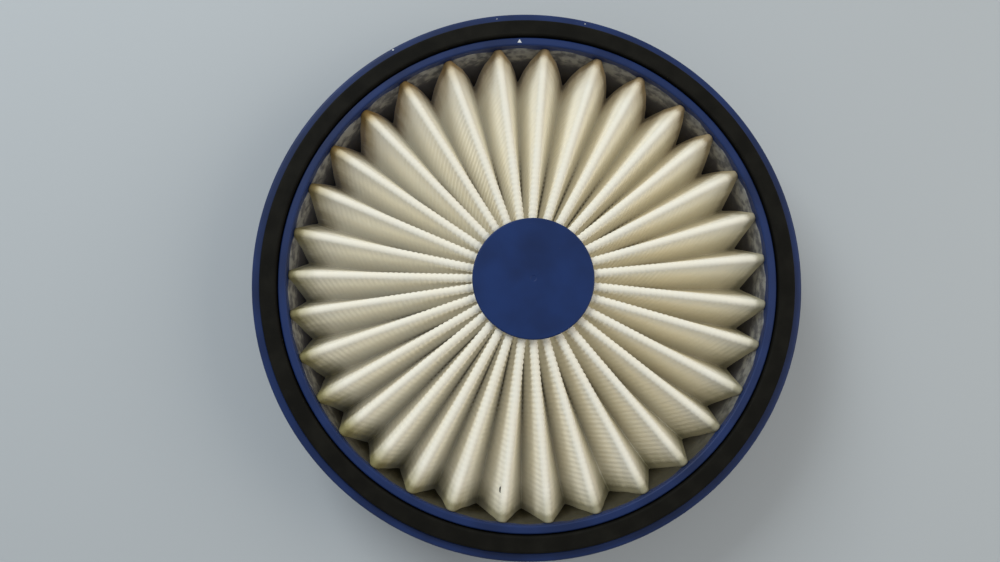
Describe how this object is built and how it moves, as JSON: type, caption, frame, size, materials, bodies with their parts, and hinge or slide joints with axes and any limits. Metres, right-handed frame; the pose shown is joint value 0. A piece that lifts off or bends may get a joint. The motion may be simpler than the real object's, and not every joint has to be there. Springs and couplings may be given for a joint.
{
  "type": "round pleated vacuum filter",
  "caption": "Round vacuum cleaner filter: pleated rosette of cream filter sheet bonded into a blue ring frame, with a flat centre cap and a black seal in the flange.",
  "frame": {"origin": "centre of the foot's circle, on the plane the filter stands on", "axes": "+Z up along the ring's axis, out of the seal side; +X to the right and +Y up in the picture"},
  "size_m": [0.14, 0.14, 0.0298],
  "materials": {
    "frame_plastic": "blue moulded plastic, satin",
    "seal_rubber": "black matt rubber",
    "filter_sheet": "cream fibrous filter sheet, a little soiled",
    "adhesive": "grey-white cured adhesive",
    "cap_plastic": "blue moulded plastic, satin"
  },
  "bodies": {
    "root": {"frame_ring": "frame_plastic", "seal_ring": "seal_rubber", "pleated_media": "filter_sheet", "rim_potting": "adhesive", "core_potting": "adhesive", "upper_cap": "cap_plastic", "lower_cap": "cap_plastic"}
  },
  "joints": []
}
